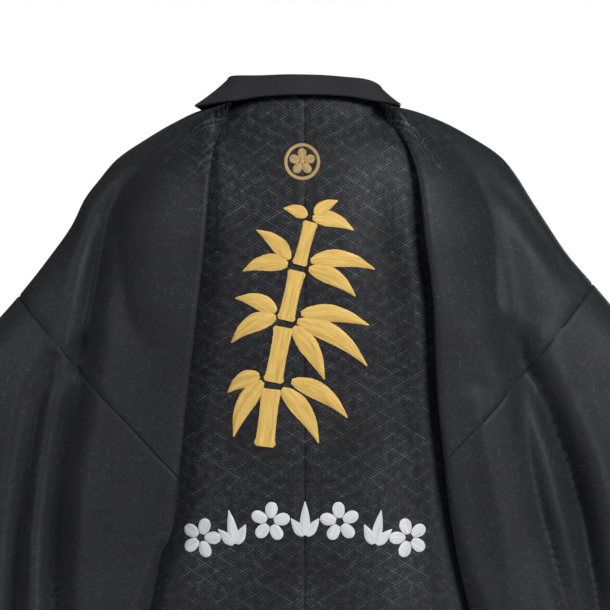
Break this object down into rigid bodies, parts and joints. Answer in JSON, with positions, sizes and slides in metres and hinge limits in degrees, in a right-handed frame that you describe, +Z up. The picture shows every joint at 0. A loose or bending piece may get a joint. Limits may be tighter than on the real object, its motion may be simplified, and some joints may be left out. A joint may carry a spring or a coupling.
{
  "type": "haori jacket",
  "caption": "Man's haori: a hip-length open-front jacket with a folded collar band, wide hanging sleeves and side gussets, in the shape it has on a body with the arms held a little out.",
  "frame": {"origin": "middle of the neck opening, level with the shoulders beside the neck, where the jacket is held", "axes": "+Z up, +X the wearer's left, +Y behind the wearer, so the back faces +Y"},
  "size_m": [1.1012, 0.2993, 0.9902],
  "materials": {
    "cloth": "satin",
    "collar_cloth": "satin",
    "gold_thread": "satin",
    "white_thread": "satin"
  },
  "bodies": {
    "root": {"body_left": "cloth", "body_right": "cloth", "sleeve_left": "cloth", "sleeve_right": "cloth", "gusset_left": "cloth", "gusset_right": "cloth", "collar": "collar_cloth"}
  },
  "joints": []
}
